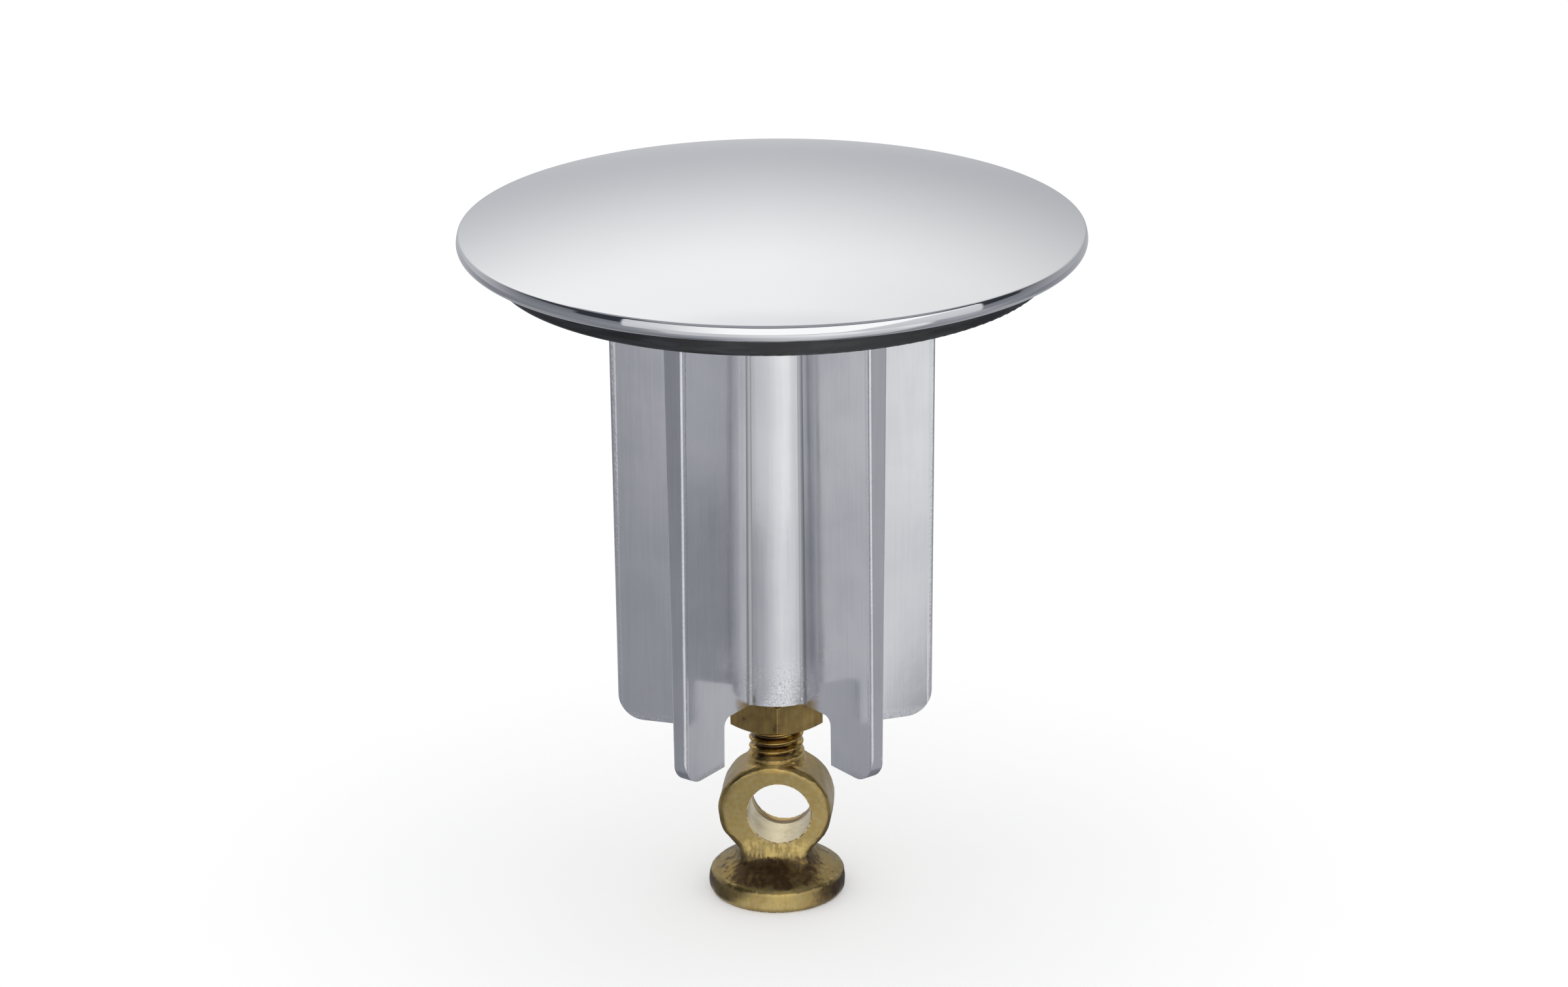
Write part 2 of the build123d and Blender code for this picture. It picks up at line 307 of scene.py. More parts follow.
class Finish:
    """A material or a world, and its nodes"""

    def __init__(self, owner):
        self.owner = owner
        owner.use_nodes = True
        self.tree = owner.node_tree
        self.tree.nodes.clear()

    def node(self, kind, settings=None, inputs=(), output=0):
        """A node with its settings, then the values or links of its inputs."""
        node = self.tree.nodes.new(kind)
        for name, setting in (settings or {}).items():
            if name == "stops":
                ramp = node.color_ramp
                while len(ramp.elements) < len(setting):
                    ramp.elements.new(1)
                for stop, (position, tone) in zip(ramp.elements, setting):
                    stop.position = position
                    stop.color = (*tone, 1) if isinstance(tone, tuple) else (tone, tone, tone, 1)
            else:
                setattr(node, name, setting)
        pairs = inputs.items() if isinstance(inputs, dict) else enumerate(inputs)
        for name, value in pairs:
            if isinstance(value, Value):
                self.tree.links.new(value.socket, node.inputs[name])
            else:
                node.inputs[name].default_value = value
        return Value(self, node.outputs[output]) if node.outputs else None

    def place(self, scale=(1, 1, 1), turn=0):
        """A point of the piece, turned about the axis and then stretched."""
        point = self.node("ShaderNodeTexCoord", output=3)
        settings = {"vector_type": "POINT"}
        return self.node("ShaderNodeMapping", settings, {0: point, 2: (0, 0, turn), 3: scale})

    def from_axis(self):
        """The distance from the plug's axis."""
        return self.node("ShaderNodeVectorMath", {"operation": "LENGTH"}, [self.place((1, 1, 0))], 1)

    def looked_at(self):
        """1 for what the camera sees by itself, in a mirror or through a clear piece, and 0 for the rest."""
        ray = self.node("ShaderNodeLightPath")
        seen = ray.math("MAXIMUM", ray, ray.output(3))
        return ray.math("MAXIMUM", seen, ray.output(6))

    def noise(self, point, size, detail=2.0, roughness=0.5):
        """Even noise whose patches are about this long, in millimetres."""
        inputs = {"Vector": point, "Scale": 1 / (size * MM), "Detail": detail, "Roughness": roughness}
        return self.node("ShaderNodeTexNoise", {}, inputs)

    def step(self, value, low, high):
        """Rises smoothly from 0 at the low value to 1 at the high one."""
        settings = {"interpolation_type": "SMOOTHSTEP"}
        if low < high:
            return self.node("ShaderNodeMapRange", settings, [value, low, high])
        return 1 - self.node("ShaderNodeMapRange", settings, [value, high, low])

    def mix(self, first, second, factor):
        """A colour between two colours."""
        inputs = {0: factor, 6: first, 7: second}
        return self.node("ShaderNodeMix", {"data_type": "RGBA"}, inputs, 2)

    def blend(self, first, second, factor):
        """A number between two numbers."""
        return self.node("ShaderNodeMix", {"data_type": "FLOAT"}, {0: factor, 2: first, 3: second})

    def ramp(self, value, stops):
        """A colour read from a row of stops."""
        return self.node("ShaderNodeValToRGB", {"stops": stops}, [value])

    def tones(self, value, stops, glow):
        """Greys read from a row of stops, for a light of this strength."""
        return self.ramp(value, [(place, cool(tone, glow)) for place, tone in stops])

    def bump(self, height, depth):
        """Normals of a relief whose height goes from 0 to this depth, in millimetres."""
        return self.node("ShaderNodeBump", {}, {"Height": height, "Distance": depth * MM, "Strength": 1.0})

    def surface(self, inputs):
        """The finished surface."""
        shader = self.node("ShaderNodeBsdfPrincipled", {}, inputs)
        self.node("ShaderNodeOutputMaterial", {}, {"Surface": shader})
        return self.owner


def new_finish(name):
    """An empty material to add nodes to."""
    return Finish(bpy.data.materials.new(name))


def solid(tone):
    """A colour with its fourth number."""
    return (*tone, 1)


def cool(tone, glow):
    """A grey of this brightness under a light of this strength, bluer where it is darker."""
    return (tone**1.05 / glow, tone**1.03 / glow, tone**0.95 / glow)


def polished_chrome(settings):
    """Mirror chrome, with the faint unevenness that buffing leaves, and painted shade low on the rim."""
    finish = new_finish("polished_chrome")
    point = finish.place()
    broad = finish.noise(point, 16, 2)
    fine = finish.noise(point, 1.3, 3)
    rough = settings.roughness + (broad - 0.5) * 0.03 + (fine - 0.5) * 0.015
    tint = finish.mix(solid(settings.chrome), CLOUDY_CHROME, broad)
    up = finish.node("ShaderNodeSeparateXYZ", {}, [point], 2)
    # Painted shade: the chrome low on the rim is darkened towards the rim's foot.
    shade_under_rim = finish.step(up, CAP_LOW.z + 1.1 * MM, CAP_LOW.z + 0.3 * MM)
    tint = finish.mix(tint, SHADED_CHROME, shade_under_rim * 0.7)
    relief = finish.bump(broad + fine * 0.04, 0.004)
    return finish.surface({"Base Color": tint, "Metallic": 1.0, "Roughness": rough, "Normal": relief})


def plated_casting(settings):
    """Chrome over a die-casting: mottled, with upright drag marks, beaded corners, rough lower ends and
    painted shade in the fin roots.
    """
    finish = new_finish("plated_casting")
    point = finish.place()
    spot = finish.node("ShaderNodeSeparateXYZ", {}, [finish.place(turn=-settings.fin_turn)])
    up = spot.output(2)
    wide = finish.from_axis()
    fifth = spot.math("ARCTAN2", spot.output(1), spot) / FIN_STEP
    off = (fifth - fifth.math("ROUND", fifth)) * FIN_STEP
    along = wide * off.math("COSINE", off)
    beyond = abs(wide * off.math("SINE", off)) - (up * FIN_DRAFT + FIN_HALF)
    edge = settings.leg_reach - 0.42 * MM
    corner = finish.step(beyond, -0.34 * MM, -0.2 * MM) * finish.step(along, edge - 0.25 * MM, edge)
    # The fillets between the fins and the core, where the painted shade goes.
    root = finish.step(beyond, 0.42 * MM, 0.26 * MM)
    root = root * finish.step(wide, CORE_RADIUS + 0.25 * MM, CORE_RADIUS)

    drag = finish.noise(finish.place((1, 1, 0.035)), 0.35, 3)
    cloud = finish.noise(point, 5, 3)
    grain = finish.noise(point, 0.16, 2)
    beads = finish.noise(point, 0.34, 2)
    sparkle = finish.noise(point, 0.11, 3, 0.7)
    specks = finish.noise(point, 0.22, 2)
    low = finish.step(up, 30 * MM, 24 * MM) * finish.step(wide, 9.5 * MM, 7.0 * MM)
    end = settings.leg_level + 0.2 * MM
    low = low.math("MAXIMUM", low, finish.step(up, end + MM, end) * 0.6)
    low = low * finish.step(cloud, 0.30, 0.55)
    rough = settings.roughness + (cloud - 0.5) * 0.08 + (drag - 0.5) * 0.08 + low * 0.08
    rough = rough + corner * 0.05 + root * 0.30
    tone = finish.step(cloud * 0.6 + drag * 0.4, 0.34, 0.62)
    tint = finish.mix(DULL_PLATING, solid(settings.chrome), tone)
    # Painted shade: the fin roots are darkened.
    tint = finish.mix(tint, ROOT_SHADE_PLATING, root * 0.65)
    tint = finish.mix(tint, BRIGHT_SPECKS, finish.step(specks, 0.56, 0.64) * low * 0.7)
    tint = finish.mix(tint, DARK_SPECKS, finish.step(specks, 0.42, 0.34) * low * 0.7)
    height = cloud * 0.35 + drag * 0.04 + grain * 0.012
    height = height + corner * beads * 0.6 + sparkle * low * 0.6
    relief = finish.bump(height, 0.05)
    return finish.surface({"Base Color": tint, "Metallic": 1.0, "Roughness": rough, "Normal": relief})


def black_rubber(settings):
    """Matte rubber with faint lines round its edge."""
    finish = new_finish("black_rubber")
    lines = finish.noise(finish.place((0.12, 0.12, 1)), 0.5, 3)
    dust = finish.noise(finish.place(), 0.35, 2)
    tint = finish.mix(solid(settings.rubber), RUBBER_LINES, finish.step(lines, 0.42, 0.72))
    rough = 0.36 + (dust - 0.5) * 0.15 + (lines - 0.5) * 0.2
    relief = finish.bump(lines * 0.6 + dust * 0.4, 0.04)
    return finish.surface({"Base Color": tint, "Roughness": rough, "Normal": relief})


def moulded_plastic(settings):
    """Pale moulded plastic with a fine grain."""
    finish = new_finish("moulded_plastic")
    grain = finish.noise(finish.place(), 0.5, 3)
    tint = finish.mix(solid(settings.plastic), PLASTIC_GRAIN, grain)
    rough = 0.5 + (grain - 0.5) * 0.15
    relief = finish.bump(grain, 0.02)
    return finish.surface({"Base Color": tint, "Roughness": rough, "Normal": relief})


def turned_brass(settings):
    """Bright brass with the fine rings of the lathe."""
    finish = new_finish("turned_brass")
    rings = finish.noise(finish.place((0.02, 0.02, 1)), 0.12, 2)
    cloud = finish.noise(finish.place(), 2.5, 2)
    tint = finish.mix(solid(settings.stud), STUD_CLOUDS, cloud)
    rough = 0.26 + (rings - 0.5) * 0.12
    relief = finish.bump(rings, 0.01)
    return finish.surface({"Base Color": tint, "Metallic": 1.0, "Roughness": rough, "Normal": relief})


def tarnished_brass(settings, name, worn):
    """Olive brown brass of the nut with upright tool marks, mixed towards worn brass by the given share: on
    the nut's edges this stands for rubbed wear and a painted highlight.
    """
    finish = new_finish(name)
    point = finish.place()
    cloud = finish.noise(point, 1.3, 4)
    grain = finish.noise(point, 0.16, 2)
    tall = finish.noise(finish.place((1, 1, 0.06)), 0.22, 3)
    dark = finish.mix(solid(settings.patina), solid(settings.nut), finish.step(cloud, 0.16, 0.42))
    streaks = finish.step(cloud * 0.65 + tall * 0.35, 0.40, 0.70)
    tint = finish.mix(dark, NUT_STREAKS, streaks * 0.6)
    tint = finish.mix(tint, solid(settings.worn), worn)
    rough = 0.30 + (cloud - 0.5) * 0.2 + (tall - 0.5) * 0.15
    relief = finish.bump(cloud * 0.4 + grain * 0.15 + tall * 0.16, 0.03)
    return finish.surface({"Base Color": tint, "Metallic": 1.0, "Roughness": rough, "Normal": relief})


def forged_brass(settings):
    """Forged brass: olive gold on its faces, brown in its creases, pale where it is rubbed or drilled, with
    painted highlights on the foot's wall and upper edge and painted shade on the wall's flanks and the eye's
    rounded edges.
    """
    finish = new_finish("forged_brass")
    point = finish.place()
    spot = finish.node("ShaderNodeSeparateXYZ", {}, [point])
    across = spot
    along = spot.output(1)
    up = spot.output(2)
    cloud = finish.noise(point, 2.4, 4)
    fleck = finish.noise(point, 0.55, 3)
    grain = finish.noise(point, 0.13, 2)
    brushed = finish.noise(finish.place((0.12, 1, 1)), 0.16, 3)
    scratch = finish.noise(finish.place((1, 1, 0.22)), 0.26, 4)
    streak = finish.noise(finish.place((0.12, 1, 0.12)), 0.55, 3)
    rays = finish.noise(finish.place((1, 1, 0.25)), 0.5, 3)
    half = settings.half_thickness
    wide = finish.from_axis()
    aside = across - settings.bore_offset
    high = up - settings.eye_middle
    from_bore = aside.math("SQRT", aside * aside + high * high)
    bored = settings.bore_radius + 0.03 * MM
    drilled = finish.step(from_bore, bored + 0.07 * MM, bored)
    back_rim = drilled * finish.step(along, half - 1.75 * MM, half - 1.45 * MM)

    in_eye = finish.step(up, 5.6 * MM, 6.8 * MM)
    outside = finish.step(abs(along), half - 0.02 * MM, half - 0.16 * MM)
    # Painted shade: the eye's rounded edges are browned for the dark band that they reflect.
    edge = in_eye * outside * finish.step(abs(along), half - 1.5 * MM, half - 0.8 * MM)
    side = in_eye * outside
    shank = finish.step(up, settings.eye_top + 0.1 * MM, settings.eye_top + 0.5 * MM)
    collar = finish.step(up, settings.eye_top - 1.1 * MM, settings.eye_top - 0.7 * MM)
    collar = collar * finish.step(wide, 3.7 * MM, 3.3 * MM)
    crest = settings.thread_radius
    root = shank * finish.step(wide, crest - 0.12 * MM, crest - 0.34 * MM)

    foot_wall = settings.foot_wall
    cone = finish.step(up, foot_wall - 0.1 * MM, foot_wall + 0.5 * MM)
    ragged = up + (cloud - 0.5) * 1.6 * MM + (scratch - 0.5) * 1.2 * MM
    cone = cone * finish.step(ragged, 5.9 * MM, 4.6 * MM)
    bare = cone * finish.step(abs(across), 2.8 * MM, 6.2 * MM)
    neck = finish.step(ragged, 4.5 * MM, 5.6 * MM) * finish.step(ragged, 7.4 * MM, 6.1 * MM)
    neck = neck * finish.step(abs(across), 4.2 * MM, 3.0 * MM)
    # Painted highlight and shade on the foot's wall: brighter brass in its middle, front and back, and
    # browner flanks.
    wall = finish.step(up, foot_wall + 0.3 * MM, foot_wall - 0.3 * MM)
    shaded_flanks = wall * finish.step(abs(across + 0.2 * MM), 1.2 * MM, 6.4 * MM)
    # Painted highlight: a beaded bright line along the foot's upper edge, less brown and mixed towards worn
    # brass, and also raised as beads.
    rim_highlight = finish.step(abs(up - foot_wall), 0.3 * MM, 0.1 * MM)
    rim_highlight = rim_highlight * finish.step(fleck * 0.4 + cloud * 0.6, 0.48, 0.58)

    brown = cone * 0.68 - bare * 0.36 + shaded_flanks * 0.62 + edge * 0.22 + root * 0.55 + collar * 0.1
    brown = brown - neck * 0.35 - rim_highlight * 0.4 + (cloud - 0.5) * 1.25 + (fleck - 0.5) * 0.55
    brown = brown + (rays - 0.5) * cone * 0.6 + (fleck - 0.5) * bare * 1.6 + (streak - 0.5) * side * 1.3
    clean = finish.mix(solid(settings.brass), OLIVE_FLECKS, finish.step(fleck, 0.35, 0.70))
    clean = finish.mix(clean, WARM_SIDES, side * 0.5)
    rubbed = neck * finish.step(scratch * 0.4 + cloud * 0.3 + fleck * 0.3, 0.42, 0.57)
    polished = finish.step(cloud * 0.6 + scratch * 0.4, 0.38, 0.70)
    # Painted highlight: the middle of the foot's wall is mixed towards worn brass.
    rubbed = rubbed + (1 - shaded_flanks) * wall * polished * 0.5
    rubbed = rubbed + shank * 0.25 + rim_highlight * 0.5
    clean = finish.mix(clean, solid(settings.worn), rubbed)
    clean = finish.mix(clean, WARM_SHANK, shank.math("MAXIMUM", shank, collar) * 0.5)
    tint = finish.mix(clean, solid(settings.patina), finish.step(brown, 0.22, 0.85))
    dulled = finish.step(scratch * 0.3 + cloud * 0.7, 0.42, 0.66)
    cream = finish.mix(solid(settings.bored), GREY_CREAM, dulled)
    tint = finish.mix(tint, cream, drilled)
    ring = finish.mix(RIM_GOLD, RIM_BROWN, finish.step(streak, 0.40, 0.56))
    tint = finish.mix(tint, ring, back_rim * 0.9)
    rough = 0.30 + (cloud - 0.5) * 0.18 + (scratch - 0.5) * 0.12 + cone * 0.10 - shank * 0.06
    height = cloud * 0.5 + fleck * 0.22 + brushed * in_eye * 0.05
    height = height + rays * cone * 0.25 + streak * side * 0.3
    height = height * (1 - drilled * 0.85) + grain * 0.06 + rim_highlight * fleck * 0.6
    relief = finish.bump(height, 0.05)
    return finish.surface({"Base Color": tint, "Metallic": 1.0, "Roughness": rough, "Normal": relief})


def pale_floor(settings):
    """Plain matte floor, white to the camera and to the metal, with the plug's shadow on it."""
    finish = new_finish("pale_floor")
    matte = finish.node("ShaderNodeBsdfDiffuse", {}, {"Color": solid(settings.floor)})
    bright = finish.mix((0, 0, 0, 1), (0.17, 0.17, 0.17, 1), finish.looked_at())
    lift = finish.node("ShaderNodeEmission", {}, {"Color": bright, "Strength": 1.0})
    both = finish.node("ShaderNodeAddShader", {}, [matte, lift])
    finish.node("ShaderNodeOutputMaterial", {}, {"Surface": both})
    return finish.owner


def tent_floor(finish, glow, turn, away):
    """Tones of the tent's floor: far from the plug, near it and round its foot."""
    far = finish.tones(turn + 0.5, FAR_FLOOR, glow)
    near = finish.tones(turn + 0.5, NEAR_FLOOR, glow)
    foot = finish.tones(turn + 0.5, FOOT_FLOOR, glow)
    ground = finish.mix(far, near, finish.step(away, 128 * MM, 106 * MM))
    return finish.mix(ground, foot, finish.step(away, 30 * MM, 20 * MM))


def tent_wall(finish, glow, turn, up):
    """Tones of the tent's wall: behind the plug, before it with a bright window, and beside the window."""
    low, high, top = [solid(cool(tone, glow)) for tone in (BACK_LOW, BACK_HIGH, BACK_TOP)]
    back = finish.mix(low, high, finish.step(up, 0.10, 0.68))
    back = finish.mix(back, top, finish.step(up, 0.82, 0.92))
    fade = finish.ramp(turn.math("FRACT", turn + 1), BACK_FADE)
    settings = {"data_type": "RGBA", "blend_type": "MULTIPLY"}
    shaded = finish.node("ShaderNodeMix", settings, {0: 1.0, 6: back, 7: fade}, 2)

    window = finish.tones(turn + 0.5, WINDOW, glow)
    under = finish.tones(up, UNDER_WINDOW, glow)
    over = finish.tones(up, OVER_WINDOW, glow)
    above_foot = up - finish.ramp(turn + 0.5, WINDOW_FOOT)
    front = finish.mix(under, window, finish.step(above_foot, -0.004, 0.004))
    front = finish.mix(front, over, finish.step(up, WINDOW_TOP, WINDOW_TOP + 0.005))

    corner = finish.tones(up, CORNER_WALL, glow)
    wedge = finish.step(up, 0.12, 0.125) * finish.step(abs(turn - 0.034), 0.235, 0.225)
    corner = finish.mix(corner, solid(cool(DARK_WALL, glow)), wedge)
    before = finish.step(turn, -0.146, -0.143) * finish.step(turn, 0.213, 0.210)
    side = finish.mix(corner, front, before)
    return finish.mix(side, shaded, finish.step(abs(turn), 0.25, 0.36))


def grey_tent(settings):
    """Tones of the studio that the metal reflects: by direction from the camera, and by height."""
    finish = new_finish("grey_tent")
    spot = finish.node("ShaderNodeSeparateXYZ", {}, [finish.place(turn=-settings.azimuth)])
    up = spot.output(2) / settings.tent_height
    turn = spot.math("ARCTAN2", spot, 0 - spot.output(1)) / ROUND
    away = finish.from_axis()
    ground = tent_floor(finish, settings.glow, turn, away)
    wall = tent_wall(finish, settings.glow, turn, up)
    on_wall = finish.step(away, settings.tent_radius * 0.985, settings.tent_radius * 0.995)
    tone = finish.mix(ground, wall, on_wall)
    tone = finish.mix(tone, solid(cool(CEILING, settings.glow)), finish.step(up, 0.97, 0.99))
    light = finish.node("ShaderNodeEmission", {}, {"Color": tone, "Strength": settings.glow})
    finish.node("ShaderNodeOutputMaterial", {}, {"Surface": light})
    return finish.owner


# Shapes
def turn_vert(shape, vert, centre, amount, steps):
    """Sweeps a vertex about an upright centre line of the section and gives back the last vertex."""
    swept = bmesh.ops.spin(
        shape,
        geom=[vert],
        cent=(centre[0], 0, centre[1]),
        axis=-ACROSS,
        angle=amount,
        steps=steps,
    )
    return [item for item in swept["geom_last"] if isinstance(item, bmesh.types.BMVert)][0]


def run_vert(shape, vert, across, up):
    """Draws a straight edge from a vertex to a place in the section and gives back its end."""
    drawn = bmesh.ops.extrude_vert_indiv(shape, verts=[vert])
    end = drawn["verts"][0]
    end.co = (across, 0, up)
    return end


def spin_round(shape, steps):
    """Turns the section all the way round the axis and closes it."""
    bmesh.ops.spin(
        shape,
        geom=list(shape.verts) + list(shape.edges),
        cent=(0, 0, 0),
        axis=AXIS,
        angle=ROUND,
        steps=steps,
        use_merge=True,
    )
    bmesh.ops.remove_doubles(shape, verts=list(shape.verts), dist=SMALLEST)
    bmesh.ops.recalc_face_normals(shape, faces=list(shape.faces))


def relax(shape, verts, times):
    """Softens the creases between these vertices."""
    for _ in range(times):
        bmesh.ops.smooth_vert(
            shape,
            verts=verts,
            factor=0.5,
            use_axis_x=True,
            use_axis_y=True,
            use_axis_z=True,
        )


def finish_piece(shape, name, material, crease=30):
    """Makes the piece from its shape, smooth except at sharp edges."""
    for face in shape.faces:
        face.smooth = True
    sharp = math.radians(crease)
    for edge in shape.edges:
        edge.smooth = len(edge.link_faces) == 2 and edge.calc_face_angle() < sharp
    mesh = bpy.data.meshes.new(name)
    shape.to_mesh(mesh)
    shape.free()
    mesh.materials.append(material)
    piece = bpy.data.objects.new(name, mesh)
    bpy.context.scene.collection.objects.link(piece)
    return piece


def dress(node, material):
    """Gives a CAD node its material."""
    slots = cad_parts[node].material_slots
    if not slots:
        raise RuntimeError("the node " + node + " has no material slot")
    for place in slots:
        place.material = material


def merged_copy(node):
    """A copy of a node's mesh with its triangles joined where their corners meet."""
    shape = bmesh.new()
    shape.from_mesh(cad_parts[node].data)
    bmesh.ops.remove_doubles(shape, verts=list(shape.verts), dist=0.001 * MM)
    return shape


# Operators
class BASINPLUG_OT_cap(bpy.types.Operator):
    """Make the domed cap and finish its insert and stud"""

    bl_idname = "basin_plug.cap"
    bl_label = "Cap"

    def execute(self, context):
        sizes = context.scene.basin_plug.cap
        shape = bmesh.new()
        radius = CAP_HIGH.x
        under = (radius - sizes.under_radius, CAP_LOW.z + sizes.foot_rise)
        foot = (under[0], under[1] - sizes.under_radius)
        first = bmesh.ops.create_vert(shape, co=(foot[0], 0, foot[1]))["vert"][0]
        vert = turn_vert(shape, first, under, math.pi / 2 + sizes.bend, 24)
        back = sizes.band_radius - sizes.under_radius
        centre = (under[0] - back * math.cos(sizes.bend), under[1] - back * math.sin(sizes.bend))
        vert = turn_vert(shape, vert, centre, sizes.band_tilt - sizes.bend, 8)
        reach = sizes.band_radius - sizes.edge_radius
        inner = (
            centre[0] + reach * math.cos(sizes.band_tilt),
            centre[1] + reach * math.sin(sizes.band_tilt),
        )
        # The dome has to touch both the edge and the crown, so its lean at the edge is found step by step
        lean = sizes.band_tilt
        for _ in range(20):
            edge_x = inner[0] + sizes.edge_radius * math.sin(lean)
            edge_z = inner[1] + sizes.edge_radius * math.cos(lean)
            lean = 2 * math.atan((CAP_HIGH.z - edge_z) / edge_x)
        vert = turn_vert(shape, vert, inner, math.pi / 2 - lean - sizes.band_tilt, 8)
        dome = edge_x / math.sin(lean)
        vert = turn_vert(shape, vert, (0, CAP_HIGH.z - dome), lean * 0.006, 2)
        vert = turn_vert(shape, vert, (0, CAP_HIGH.z - dome), lean * 0.994, 40)
        vert = run_vert(shape, vert, 0, CAP_HIGH.z - sizes.wall)
        lip = foot[0] - sizes.lip_width
        inside = dome - sizes.wall
        swing = math.asin(lip / inside)
        vert = turn_vert(shape, vert, (0, CAP_HIGH.z - dome), -swing, 30)
        vert = run_vert(shape, vert, lip, foot[1])
        run_vert(shape, vert, *foot)
        bmesh.ops.remove_doubles(shape, verts=list(shape.verts), dist=SMALLEST)
        on_axis = [edge for edge in shape.edges if max(abs(end.co.x) for end in edge.verts) < SMALLEST / 2]
        bmesh.ops.delete(shape, geom=on_axis, context="EDGES")
        spin_round(shape, 256)
        cap = finish_piece(shape, "cap_shell", polished_chrome(sizes), 40)
        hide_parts("cap_dome")
        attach(cap, "cap")
        dress("cap_insert", moulded_plastic(sizes))
        dress("cap_stud", turned_brass(sizes))
        return {"FINISHED"}


class BASINPLUG_OT_body(bpy.types.Operator):
    """Finish the guide body and the seal"""

    bl_idname = "basin_plug.body"
    bl_label = "Guide body and seal"

    def execute(self, context):
        settings = context.scene.basin_plug.body
        shape = merged_copy("guide_body")
        for level in LEG_CUTS:
            bmesh.ops.bisect_plane(
                shape,
                geom=list(shape.verts) + list(shape.edges) + list(shape.faces),
                dist=0.0001 * MM,
                plane_co=(0, 0, settings.leg_level + level * MM),
                plane_no=AXIS,
            )
        tall = settings.corner_height
        cut = settings.corner_width
        bend = (cut**2 + tall**2) / (2 * cut)
        inner = settings.leg_reach - 4.5 * MM
        for vert in shape.verts:
            drop = settings.leg_level + tall - vert.co.z
            away = math.hypot(vert.co.x, vert.co.y)
            if drop <= 0 or away < inner:
                continue
            drop = min(drop, tall)
            was = settings.leg_reach - bend + math.sqrt(bend**2 - drop**2)
            now = settings.leg_reach - settings.corner_round * (1 - math.sqrt(1 - (drop / tall) ** 2))
            move = (now - was) * min((away - inner) / (was - inner), 1)
            heading = math.atan2(vert.co.y, vert.co.x) - settings.fin_turn
            heading = settings.fin_turn + round(heading / FIN_STEP) * FIN_STEP
            vert.co += Vector((math.cos(heading), math.sin(heading), 0)) * min(move, 0)
        casting = finish_piece(shape, "guide_casting", plated_casting(settings), 24)
        even = casting.modifiers.new("Even faces", "WEIGHTED_NORMAL")
        even.keep_sharp = True
        even.weight = 80
        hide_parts("guide_body")
        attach(casting, "guide")
        dress("seal_ring", black_rubber(settings))
        return {"FINISHED"}


class BASINPLUG_OT_nut(bpy.types.Operator):
    """Make the lock nut with softened edges"""

    bl_idname = "basin_plug.nut"
    bl_label = "Lock nut"

    def execute(self, context):
        sizes = context.scene.basin_plug.brass
        shape = merged_copy("lock_nut")
        bmesh.ops.dissolve_limit(
            shape,
            angle_limit=math.radians(1),
            verts=list(shape.verts),
            edges=list(shape.edges),
        )
        nut = finish_piece(shape, "lock_nut_soft", tarnished_brass(sizes, "tarnished_brass", 0.0), 20)
        # The softened edges get a brighter brass: partly rubbed wear, partly a painted highlight along the
        # nut's edges.
        nut.data.materials.append(tarnished_brass(sizes, "rubbed_edges_and_highlight", 0.75))
        soften = nut.modifiers.new("Soft edges", "BEVEL")
        soften.width = sizes.nut_edge
        soften.segments = 3
        soften.limit_method = "ANGLE"
        soften.angle_limit = math.radians(22)
        soften.harden_normals = True
        soften.material = 1
        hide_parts("lock_nut")
        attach(nut, "nut")
        return {"FINISHED"}


